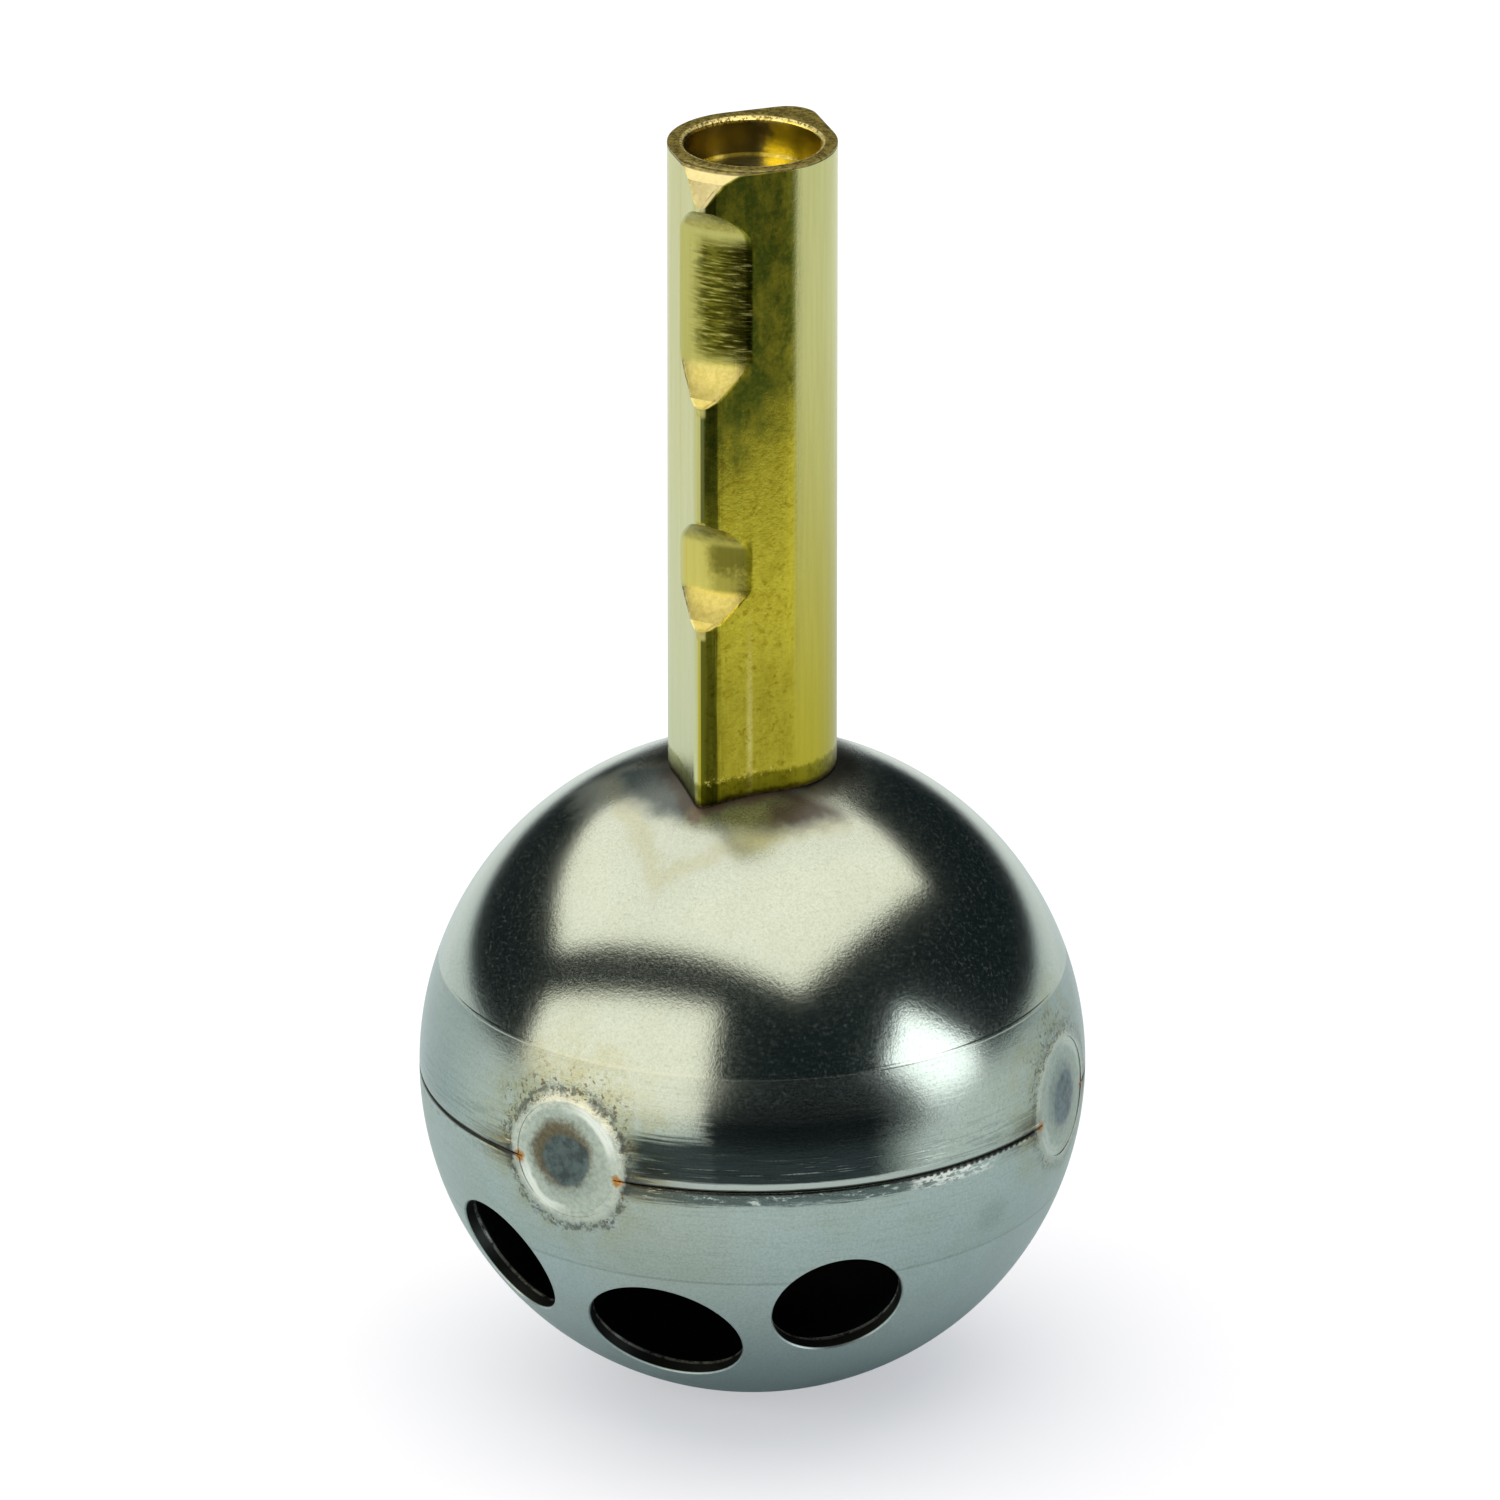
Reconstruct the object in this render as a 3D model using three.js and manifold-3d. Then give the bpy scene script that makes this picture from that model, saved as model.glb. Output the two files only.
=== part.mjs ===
// Control ball of a single-handle ball tap: a hollow stainless ball with a brass stem.
// Millimetres, +Z up along the stem, origin at the ball's centre.
// The stem's sharp ridge, where the handle's set screw bites, faces -Y.
// Azimuths are counted from -Y towards +X, latitudes up from the seam.

import * as THREE from "three";
import { mergeVertices } from "three/addons/utils/BufferGeometryUtils.js";
import Module from "manifold-3d";

const wasm = await Module();
wasm.setup();

// Ball
const ballRadius = 12.7;
const shellThickness = 0.6;
const seamGrooveDepth = 0.08;
const ballSegments = 48;
const ballRows = 20;

// Stem: a square bar turned down to a round on its two side corners
const stemHalfSide = 3.2;
const ridgeFillet = 0.55;
const rearFillet = 1.15;
const stemTopZ = 37.4;
const stemBottomZ = 11.4;
const cornerSteps = 10;

// End of the stem: bored, with only the ridge's corner bevelled.
// The bevel is listed as radius and depth below the top.
const topBevel = [[3.42, 0], [3.82, 0.38], [4.6, 1.79]];
const boreRadius = 2.57;
const boreDepth = 1.5;
const boreEdgeChamfer = 0.12;

// Set-screw notches across the ridge, turned to a round floor about the stem's axis.
// Their ends are listed as distance past the floor's end and growth in radius.
const notchFloorRadius = 3.38;
const notchTopEnd = [[0.4, 0.05], [0.8, 0.22], [1.08, 0.42], [1.34, 0.73], [1.5, 1.05]];
const notchFootEnd = [[0.3, 0.06], [1.05, 0.44], [1.3, 0.68], [1.6, 1.05]];
const notches = [
  { lowZ: 29.92, highZ: 34.58 },
  { lowZ: 20.68, highZ: 22.03 },
];

// Stem fixing through the upper shell
const tenonRadius = 2.0;
const headRadius = 2.9;
const headLowZ = 10.9;
const brazeThickness = 0.12;
const brazeInset = 0.06;

// Water ports in the lower shell
const ports = [
  { azimuth: -27.9, latitude: -25.1, radius: 2.53 },
  { azimuth: 8.1, latitude: -35.0, radius: 2.99 },
  { azimuth: 43.7, latitude: -26.1, radius: 2.53 },
];

// Guide slot on the far side, for the pin in the tap's body
const slotAzimuth = 188.6;
const slotHighLatitude = -15;
const slotLowLatitude = -48;
const slotHalfWidth = 1.6;

// Backing ring behind the seam and the spots that weld it to both shells
const ringHalfHeight = 2.4;
const ringThickness = 0.5;
const weldRadius = 1.0;
const weldDepth = 0.85;
const weldLatitude = 1.7;
const weldAzimuths = [-6.8, 96.5, 173, -96.5];

// Parts that touch keep this much air between them
const fitGap = 0.02;

const innerRadius = ballRadius - shellThickness;
const boreFloorZ = stemTopZ - boreDepth;

const stainless = () => new THREE.MeshStandardMaterial({
  color: 0xb7bdb2,
  roughness: 0.22,
  metalness: 1.0,
});
const brass = () => new THREE.MeshStandardMaterial({
  color: 0xa79c45,
  roughness: 0.3,
  metalness: 1.0,
});
const brazeAlloy = () => new THREE.MeshStandardMaterial({
  color: 0x5f5a24,
  roughness: 0.4,
  metalness: 1.0,
});
const weldSteel = () => new THREE.MeshStandardMaterial({
  color: 0x6d7174,
  roughness: 0.45,
  metalness: 1.0,
});

// --- solids and booleans ---

function toSolid(geometry) {
  const bare = geometry.index ? geometry.toNonIndexed() : geometry.clone();
  bare.deleteAttribute("normal");
  bare.deleteAttribute("uv");
  const merged = mergeVertices(bare, 1e-5);
  const mesh = new wasm.Mesh({
    numProp: 3,
    vertProperties: Float32Array.from(merged.attributes.position.array),
    triVerts: Uint32Array.from(merged.index.array),
  });
  return new wasm.Manifold(mesh);
}

function toGeometry(solid) {
  const mesh = solid.getMesh();
  const geometry = new THREE.BufferGeometry();
  geometry.setAttribute("position", new THREE.BufferAttribute(mesh.vertProperties, 3));
  geometry.setIndex(new THREE.BufferAttribute(mesh.triVerts, 1));
  geometry.computeVertexNormals();
  return geometry;
}

function turned(points, segments) {
  const profile = points.map(([radius, z]) => new THREE.Vector2(radius, z));
  return new THREE.LatheGeometry(profile, segments).rotateX(Math.PI / 2);
}

function sphereSolid(radius) {
  const points = [];
  for (let row = 0; row <= ballRows; row += 1) {
    const angle = -Math.PI / 2 + (Math.PI * row) / ballRows;
    const onAxis = row === 0 || row === ballRows;
    points.push([onAxis ? 0 : radius * Math.cos(angle), radius * Math.sin(angle)]);
  }
  return toSolid(turned(points, ballSegments));
}

function cylinderPoints(radius, lowZ, highZ) {
  return [[0, lowZ], [radius, lowZ], [radius, highZ], [0, highZ]];
}

function cylinderSolid(radius, lowZ, highZ, segments = 40) {
  return toSolid(turned(cylinderPoints(radius, lowZ, highZ), segments));
}

function slabSolid(lowZ, highZ) {
  const side = ballRadius * 4;
  const box = new THREE.BoxGeometry(side, side, highZ - lowZ);
  return toSolid(box.translate(0, 0, (lowZ + highZ) / 2));
}

function outward(azimuth, latitude) {
  const turn = THREE.MathUtils.degToRad(azimuth);
  const rise = THREE.MathUtils.degToRad(latitude);
  return new THREE.Vector3(
    Math.sin(turn) * Math.cos(rise),
    -Math.cos(turn) * Math.cos(rise),
    Math.sin(rise),
  );
}

// A round tool that points straight out of the ball at a given place on it
function radialTool(radius, fromCentre, toCentre, azimuth, latitude, segments) {
  const geometry = turned(cylinderPoints(radius, fromCentre, toCentre), segments);
  const aim = new THREE.Quaternion().setFromUnitVectors(
    new THREE.Vector3(0, 0, 1),
    outward(azimuth, latitude),
  );
  return toSolid(geometry.applyQuaternion(aim));
}

// --- stem ---

function stemOutline(offset) {
  const side = stemHalfSide + offset;
  const corners = [
    { direction: -90, fillet: ridgeFillet + offset },
    { direction: 0, fillet: side },
    { direction: 90, fillet: rearFillet + offset },
    { direction: 180, fillet: side },
  ];
  const points = [];
  for (const { direction, fillet } of corners) {
    const reach = (side - fillet) * Math.SQRT2;
    const middle = THREE.MathUtils.degToRad(direction);
    for (let step = 0; step <= cornerSteps; step += 1) {
      const angle = middle + (Math.PI / 2) * (step / cornerSteps - 0.5);
      points.push(new THREE.Vector2(
        reach * Math.cos(middle) + fillet * Math.cos(angle),
        reach * Math.sin(middle) + fillet * Math.sin(angle),
      ));
    }
  }
  return points;
}

// What lies outside a turned core, on the ridge's side of the stem only.
// The core is turned half a facet, so that the middle of a facet faces the ridge.
function ridgeSideTool(corePoints, lowZ, highZ) {
  const side = stemHalfSide * 2;
  const facets = 72;
  const core = turned(corePoints, facets).rotateZ(Math.PI / facets);
  const block = new THREE.BoxGeometry(side * 2, side, highZ - lowZ);
  block.translate(0, -side / 2, (lowZ + highZ) / 2);
  return toSolid(block).subtract(toSolid(core));
}

function notchTool({ lowZ, highZ }) {
  const below = notchFootEnd.map(([drop, growth]) => [notchFloorRadius + growth, lowZ - drop]);
  const above = notchTopEnd.map(([rise, growth]) => [notchFloorRadius + growth, highZ + rise]);
  const floor = [[notchFloorRadius, lowZ], [notchFloorRadius, highZ]];
  const [footRadius, footZ] = below[below.length - 1];
  const [topRadius, topZ] = above[above.length - 1];
  const core = [
    [0, footZ - 1], [footRadius, footZ - 1],
    ...below.reverse(), ...floor, ...above,
    [topRadius, topZ + 1], [0, topZ + 1],
  ];
  return ridgeSideTool(core, footZ, topZ);
}

function topBevelTool() {
  const cone = topBevel.map(([radius, depth]) => [radius, stemTopZ - depth]).reverse();
  const [lowRadius, lowZ] = cone[0];
  const core = [
    [0, lowZ - 1], [lowRadius, lowZ - 1],
    ...cone,
    [topBevel[0][0], stemTopZ + 2], [0, stemTopZ + 2],
  ];
  return ridgeSideTool(core, lowZ, stemTopZ + 1);
}

function stemBore() {
  const above = 0.2;
  return toSolid(turned([
    [0, boreFloorZ],
    [boreRadius, boreFloorZ],
    [boreRadius, stemTopZ - boreEdgeChamfer],
    [boreRadius + boreEdgeChamfer + above, stemTopZ + above],
    [0, stemTopZ + above],
  ], 48));
}

function stemBar(offset) {
  const bar = new THREE.ExtrudeGeometry(new THREE.Shape(stemOutline(offset)), {
    depth: stemTopZ - stemBottomZ,
    bevelEnabled: false,
  });
  return bar.translate(0, 0, stemBottomZ);
}

function stemGeometry() {
  let column = toSolid(stemBar(0)).subtract(topBevelTool()).subtract(stemBore());
  for (const notch of notches) {
    column = column.subtract(notchTool(notch));
  }
  column = column.subtract(sphereSolid(ballRadius + brazeThickness));
  const tenon = cylinderSolid(tenonRadius, headLowZ, ballRadius + 1);
  const head = cylinderSolid(headRadius, headLowZ, ballRadius)
    .intersect(sphereSolid(innerRadius - fitGap));
  return toGeometry(column.add(tenon).add(head));
}

// The film of braze between the stem's coped foot and the ball, a little inside its outline
function brazeGeometry() {
  const film = sphereSolid(ballRadius + brazeThickness - fitGap)
    .subtract(sphereSolid(ballRadius + fitGap))
    .intersect(toSolid(stemBar(-brazeInset)))
    .subtract(cylinderSolid(tenonRadius + fitGap, 0, ballRadius * 2));
  return toGeometry(film);
}

// --- ball ---

function weldTool(azimuth, extra) {
  const tool = radialTool(weldRadius + extra, 8, 14, azimuth, weldLatitude, 24);
  return tool.subtract(sphereSolid(ballRadius - weldDepth - extra));
}

function withoutWelds(solid) {
  let cut = solid;
  for (const azimuth of weldAzimuths) {
    cut = cut.subtract(weldTool(azimuth, fitGap));
  }
  return cut;
}

function seamGroove() {
  const deep = ballRadius - seamGrooveDepth;
  const clear = ballRadius + seamGrooveDepth;
  const profile = [[deep, 0], [clear, -2 * seamGrooveDepth], [clear, 2 * seamGrooveDepth], [deep, 0]];
  return toSolid(turned(profile, ballSegments));
}

function halfShell(lowZ, highZ) {
  return sphereSolid(ballRadius)
    .subtract(sphereSolid(innerRadius))
    .intersect(slabSolid(lowZ, highZ))
    .subtract(seamGroove());
}

function upperShellGeometry() {
  const dome = halfShell(fitGap / 2, ballRadius + 1);
  const hole = cylinderSolid(tenonRadius + fitGap, 0, ballRadius + 1);
  return toGeometry(withoutWelds(dome.subtract(hole)));
}

function guideSlotTool() {
  const high = THREE.MathUtils.degToRad(slotHighLatitude);
  const low = THREE.MathUtils.degToRad(slotLowLatitude);
  const sector = new THREE.Shape();
  sector.absarc(0, 0, ballRadius + 2, low, high, false);
  sector.absarc(0, 0, innerRadius - 2, high, low, true);
  const length = slotHalfWidth * 2;
  const middle = new THREE.ExtrudeGeometry(sector, {
    depth: length,
    bevelEnabled: false,
    curveSegments: 8,
  });
  middle.translate(0, 0, -length / 2);
  const level = outward(slotAzimuth, 0);
  const up = new THREE.Vector3(0, 0, 1);
  const sideways = new THREE.Vector3().crossVectors(level, up);
  middle.applyMatrix4(new THREE.Matrix4().makeBasis(level, up, sideways));
  const end = (latitude) => radialTool(
    slotHalfWidth, innerRadius - 2, ballRadius + 2, slotAzimuth, latitude, 24,
  );
  return toSolid(middle).add(end(slotHighLatitude)).add(end(slotLowLatitude));
}

function lowerShellGeometry() {
  let bowl = halfShell(-ballRadius - 1, -fitGap / 2);
  for (const { azimuth, latitude, radius } of ports) {
    bowl = bowl.subtract(radialTool(radius, 8, 14, azimuth, latitude, 40));
  }
  bowl = bowl.subtract(guideSlotTool());
  return toGeometry(withoutWelds(bowl));
}

function seamRingGeometry() {
  const bandRadius = innerRadius - fitGap;
  const band = sphereSolid(bandRadius)
    .subtract(sphereSolid(bandRadius - ringThickness))
    .intersect(slabSolid(-ringHalfHeight, ringHalfHeight));
  return toGeometry(withoutWelds(band));
}

function weldGeometry(azimuth) {
  return toGeometry(weldTool(azimuth, 0).intersect(sphereSolid(ballRadius)));
}

// --- assembly ---

const assembly = new THREE.Group();

function addPiece(name, geometry, material) {
  const mesh = new THREE.Mesh(geometry, material);
  mesh.name = name;
  assembly.add(mesh);
}

addPiece("upper_shell", upperShellGeometry(), stainless());
addPiece("lower_shell", lowerShellGeometry(), stainless());
addPiece("seam_ring", seamRingGeometry(), stainless());
addPiece("stem", stemGeometry(), brass());
addPiece("braze_film", brazeGeometry(), brazeAlloy());
weldAzimuths.forEach((azimuth, index) => {
  addPiece(`weld_spot_${index + 1}`, weldGeometry(azimuth), weldSteel());
});

export default assembly;
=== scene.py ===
import bpy, math
from mathutils import Vector, Matrix


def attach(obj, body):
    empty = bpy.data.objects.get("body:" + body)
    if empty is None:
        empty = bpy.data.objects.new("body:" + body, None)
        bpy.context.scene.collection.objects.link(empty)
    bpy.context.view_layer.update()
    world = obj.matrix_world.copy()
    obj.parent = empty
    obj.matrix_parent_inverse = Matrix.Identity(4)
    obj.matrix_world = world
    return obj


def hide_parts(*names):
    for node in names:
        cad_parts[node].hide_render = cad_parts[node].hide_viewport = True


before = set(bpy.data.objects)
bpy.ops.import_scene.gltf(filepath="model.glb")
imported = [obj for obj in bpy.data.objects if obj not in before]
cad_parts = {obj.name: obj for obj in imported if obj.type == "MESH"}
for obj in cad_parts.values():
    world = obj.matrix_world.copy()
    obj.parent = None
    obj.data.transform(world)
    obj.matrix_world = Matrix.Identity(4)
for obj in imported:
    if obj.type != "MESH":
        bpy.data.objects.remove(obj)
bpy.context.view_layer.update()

mm = 0.001

ball = {
    "radius": 12.69 * mm,
    "wall": 0.6 * mm,
    "segments": 216,
    "rings": 108,
    "seamGap": 0.07 * mm,      # between the two shells
    "seamBevel": 0.1 * mm,
    "stemHole": 2.05 * mm,
}

ports = {
    "lip": 0.07 * mm,          # broken edge round each port
    "vertices": 160,
    "places": [                # azimuth from -Y towards +X, latitude, radius
        (-27.9, -25.1, 2.53 * mm),
        (8.1, -35.0, 2.99 * mm),
        (43.7, -26.1, 2.53 * mm),
    ],
}

guideSlot = {
    "azimuth": 188.6,
    "highLatitude": -15.0,
    "lowLatitude": -48.0,
    "halfWidth": 1.6 * mm,
}

welds = {
    "latitude": 1.7,
    "nuggetRadius": 1.0 * mm,
    "nuggetDepth": 0.85 * mm,
    "padRadius": 2.1 * mm,     # the fused skin round the nugget, which closes the seam
    "padDepth": 0.3 * mm,
    "dishRadius": 2.3 * mm,    # where the electrode pressed
    "dishDepth": 0.06 * mm,
    "dishCurve": 15.0 * mm,
    "azimuths": [-6.8, 96.5, 173.0, -96.5],
}

stem = {
    "halfSide": 3.2 * mm,
    "ridgeRadius": 0.55 * mm,
    "rearRadius": 1.15 * mm,
    "top": 37.4 * mm,
    "bottom": 11.4 * mm,
    "filmThickness": 0.12 * mm,
    "bevel": [(4.6, 1.79), (3.82, 0.38), (3.42, 0)],       # radius, depth below the top, mm
    "boreRadius": 2.57 * mm,
    "boreDepth": 1.5 * mm,
    "boreEdge": 0.12 * mm,
    "notchFloor": 3.38 * mm,   # from the stem's axis: the floor is round about it
    "notchTopEnd": [(0.2, 0.012), (0.4, 0.05), (0.6, 0.12), (0.8, 0.22), (1.08, 0.42),
                    (1.34, 0.73), (1.5, 1.05)],             # rise, growth in radius, mm
    "notches": [                # floor's ends, then drop and growth in radius below it, mm
        (29.92 * mm, 34.58 * mm, [(0.15, 0.012), (0.4, 0.05), (0.8, 0.18), (1.2, 0.38),
                                  (1.55, 0.58), (1.75, 0.82), (1.85, 1.05)]),
        (20.68 * mm, 22.03 * mm, [(0.15, 0.015), (0.35, 0.06), (0.7, 0.2), (1.0, 0.37),
                                  (1.3, 0.54), (1.5, 0.78), (1.6, 1.05)]),
    ],
    "edgeBevel": 0.05 * mm,
    "halo": (1.09, -3.43, 24.3),   # middle of a round water mark, mm
    "tenonRadius": 2.0 * mm,
    "headRadius": 2.9 * mm,
    "headLow": 10.9 * mm,
}


def outward(azimuth, latitude):
    turn, rise = math.radians(azimuth), math.radians(latitude)
    out = math.cos(rise)
    return Vector((math.sin(turn) * out, -math.cos(turn) * out, math.sin(rise)))


def aimed(azimuth, latitude):   # turns +Z to point out of the ball at a place on it
    return outward(azimuth, latitude).to_track_quat("Z", "Y").to_euler()


def newest(name):
    piece = bpy.context.active_object
    piece.name = name
    piece.data.name = name
    return piece


def only(piece):
    bpy.ops.object.select_all(action="DESELECT")
    piece.select_set(True)
    bpy.context.view_layer.objects.active = piece


def editing(piece, mode="VERT"):
    only(piece)
    bpy.ops.object.mode_set(mode="EDIT")
    bpy.ops.mesh.select_mode(type=mode)
    bpy.ops.mesh.select_all(action="DESELECT")


def pick(piece, kind, test):    # selects vertices, edges or faces by their place
    bpy.ops.object.mode_set(mode="OBJECT")
    mesh = piece.data
    for item in getattr(mesh, kind):
        if kind == "vertices":
            item.select = test(item.co)
        elif kind == "edges":
            item.select = test(*(mesh.vertices[i].co for i in item.vertices))
        else:
            item.select = test(item.center, item.normal)
    bpy.ops.object.mode_set(mode="EDIT")


def done():
    bpy.ops.object.mode_set(mode="OBJECT")


def settle(piece):              # puts the piece's place into its mesh
    only(piece)
    bpy.ops.object.transform_apply(location=True, rotation=True, scale=True)


def finishWith(piece, kind, **settings):
    only(piece)
    step = piece.modifiers.new(kind.title(), kind)
    for name, value in settings.items():
        setattr(step, name, value)
    bpy.ops.object.modifier_apply(modifier=step.name)


def carve(piece, tool, operation="DIFFERENCE", keep=False):
    finishWith(piece, "BOOLEAN", operation=operation, object=tool, solver="MANIFOLD")
    if not keep:
        bpy.data.objects.remove(tool)


def smooth(piece, angle=30.0):
    only(piece)
    bpy.ops.object.shade_smooth_by_angle(angle=math.radians(angle))


def copyOf(piece, name):
    twin = piece.copy()
    twin.data = piece.data.copy()
    twin.name = name
    bpy.context.scene.collection.objects.link(twin)
    return twin


def turned(name, profile, vertices=96):
    # a solid turned about Z: starts as a cylinder and grows ring by ring up its profile
    (firstRadius, low), (secondRadius, high) = profile[:2]
    bpy.ops.mesh.primitive_cylinder_add(
        vertices=vertices, radius=firstRadius, depth=high - low, location=(0, 0, (low + high) / 2))
    piece = newest(name)
    settle(piece)
    editing(piece, "FACE")
    pick(piece, "polygons", lambda centre, normal: normal.z > 0.9)
    bpy.ops.transform.resize(value=(secondRadius / firstRadius, secondRadius / firstRadius, 1))
    for (fromRadius, fromHeight), (radius, height) in zip(profile[1:], profile[2:]):
        bpy.ops.mesh.extrude_region_move(
            TRANSFORM_OT_translate={"value": (0, 0, height - fromHeight)})
        bpy.ops.transform.resize(value=(radius / fromRadius, radius / fromRadius, 1))
    done()
    return piece


def globe(name, radius, centre=(0, 0, 0)):
    bpy.ops.mesh.primitive_uv_sphere_add(
        segments=ball["segments"], ring_count=ball["rings"], radius=radius, location=centre)
    piece = newest(name)
    settle(piece)
    return piece


def place(piece, slotName, *nodes):
    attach(piece, "root")
    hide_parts(*nodes)


# ---- camera ----

camera = {
    "azimuth": 27.0,
    "elevation": 23.4,
    "distance": 762 * mm,
    "lens": 479.74,
    "aimHeight": 12.75 * mm,
    "aimLeft": 0.09 * mm,
}


def makeCamera():
    data = bpy.data.cameras.new("camera")
    data.lens = camera["lens"]
    data.sensor_width = 36
    data.clip_start = 0.01
    data.clip_end = 20
    eye = bpy.data.objects.new("camera", data)
    bpy.context.scene.collection.objects.link(eye)
    eye.location = outward(camera["azimuth"], camera["elevation"]) * camera["distance"]
    turn = math.radians(camera["azimuth"])
    left = Vector((-math.cos(turn), -math.sin(turn), 0))
    aim = Vector((0, 0, camera["aimHeight"])) + left * camera["aimLeft"]
    eye.rotation_euler = (aim - eye.location).to_track_quat("-Z", "Y").to_euler()
    bpy.context.scene.camera = eye


makeCamera()
print("camera set")


# ---- ball ----

def portTool(azimuth, latitude, radius):
    # a punch as wide as the port, that flares where it meets both faces of the wall
    mouth = math.sqrt(ball["radius"] ** 2 - radius ** 2)
    inner = math.sqrt((ball["radius"] - ball["wall"]) ** 2 - radius ** 2)
    lip = ports["lip"]
    tool = turned("portTool", [
        (radius + 3 * lip, inner - 2.5 * mm), (radius + 3 * lip, inner - 2 * lip),
        (radius, inner + lip), (radius, mouth - lip), (radius + 3 * lip, mouth + 2 * lip),
        (radius + 3 * lip, mouth + 2 * mm)], ports["vertices"])
    tool.rotation_euler = aimed(azimuth, latitude)
    settle(tool)
    return tool


def slotTools():
    # a round punch at each end of the slot, and one dragged between them
    middle = (guideSlot["highLatitude"] + guideSlot["lowLatitude"]) / 2
    half = (guideSlot["highLatitude"] - guideSlot["lowLatitude"]) / 2
    reach = 5 * mm
    tools = []
    for latitude in (guideSlot["highLatitude"], guideSlot["lowLatitude"]):
        end = turned("slotEnd", [(guideSlot["halfWidth"], ball["radius"] - reach),
                                 (guideSlot["halfWidth"], ball["radius"] + reach)], 64)
        end.rotation_euler = aimed(guideSlot["azimuth"], latitude)
        settle(end)
        tools.append(end)
    bpy.ops.mesh.primitive_cube_add(size=1, location=(0, 0, ball["radius"]), scale=(
        2 * guideSlot["halfWidth"], 0.2 * mm, 2 * reach))
    web = newest("slotWeb")
    settle(web)
    editing(web, "FACE")
    steps = 24
    pick(web, "polygons", lambda centre, normal: normal.y > 0.9)
    bpy.ops.mesh.spin(steps=steps, angle=math.radians(half), center=(0, 0, 0), axis=(-1, 0, 0))
    done()
    editing(web, "FACE")
    pick(web, "polygons", lambda centre, normal: normal.y < -0.9)
    bpy.ops.mesh.spin(steps=steps, angle=math.radians(half), center=(0, 0, 0), axis=(1, 0, 0))
    bpy.ops.mesh.select_all(action="SELECT")
    bpy.ops.mesh.normals_make_consistent(inside=False)
    done()
    web.rotation_euler = aimed(guideSlot["azimuth"], middle)
    settle(web)
    return tools + [web]


def domeShell(name, upper):
    shell = globe(name, ball["radius"])
    editing(shell)
    bpy.ops.mesh.select_all(action="SELECT")
    way = 1 if upper else -1
    bpy.ops.mesh.bisect(plane_co=(0, 0, ball["seamGap"] / 2 * way), plane_no=(0, 0, way),
                        clear_inner=True)
    done()
    finishWith(shell, "SOLIDIFY", thickness=ball["wall"], offset=-1, use_even_offset=True)
    finishWith(shell, "BEVEL", width=ball["seamBevel"], segments=3, limit_method="ANGLE",
               angle_limit=math.radians(60))
    return shell


def dishTool():
    # the end of a welding electrode, a little flatter than the ball
    tool = turned("dishTool", [(welds["dishRadius"], ball["radius"] - 0.3 * mm),
                               (welds["dishRadius"], ball["radius"] + 1.7 * mm)])
    curve = welds["dishCurve"]
    carve(tool, globe("crown", curve, (0, 0, ball["radius"] - welds["dishDepth"] - curve)))
    return tool


def nuggetTool(grow):
    low = ball["radius"] - welds["nuggetDepth"] - grow
    step = ball["radius"] - welds["padDepth"] - grow
    core, pad = welds["nuggetRadius"] + grow, welds["padRadius"] + grow
    return turned("nuggetTool", [(core, low), (core, step - 0.01 * mm), (pad, step),
                                 (pad, ball["radius"] + 1 * mm)])


def turnedTo(tool, azimuth, latitude, name):
    twin = copyOf(tool, name)
    twin.rotation_euler = aimed(azimuth, latitude)
    settle(twin)
    return twin


def makeBall():
    upper = domeShell("upperShell", True)
    lower = domeShell("lowerShell", False)
    print("shells turned")
    carve(upper, turned("stemHole", [(ball["stemHole"], 8 * mm), (ball["stemHole"], 14 * mm)]))
    for azimuth, latitude, radius in ports["places"]:
        carve(lower, portTool(azimuth, latitude, radius))
    for tool in slotTools():
        carve(lower, tool)
    print("ports and slot cut")
    dish = dishTool()
    pocket = nuggetTool(0.004 * mm)
    slug = nuggetTool(0)
    nuggets = []
    for index, azimuth in enumerate(welds["azimuths"]):
        for shell in (upper, lower):
            carve(shell, turnedTo(dish, azimuth, welds["latitude"], "dish"))
            carve(shell, turnedTo(pocket, azimuth, welds["latitude"], "pocket"))
        nugget = turnedTo(slug, azimuth, welds["latitude"], "weldNugget%d" % (index + 1))
        carve(nugget, globe("outside", ball["radius"]), "INTERSECT")
        carve(nugget, turnedTo(dish, azimuth, welds["latitude"], "dish"))
        nuggets.append(nugget)
    for tool in (dish, pocket, slug):
        bpy.data.objects.remove(tool)
    print("welds pressed")
    return upper, lower, nuggets


upperShell, lowerShell, nuggets = makeBall()
for piece in [upperShell, lowerShell] + nuggets:
    smooth(piece)
place(upperShell, "stainless", "upper_shell")
place(lowerShell, "stainless", "lower_shell")
for index, nugget in enumerate(nuggets):
    place(nugget, "weld", "weld_spot_%d" % (index + 1))


# ---- stem ----

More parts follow.
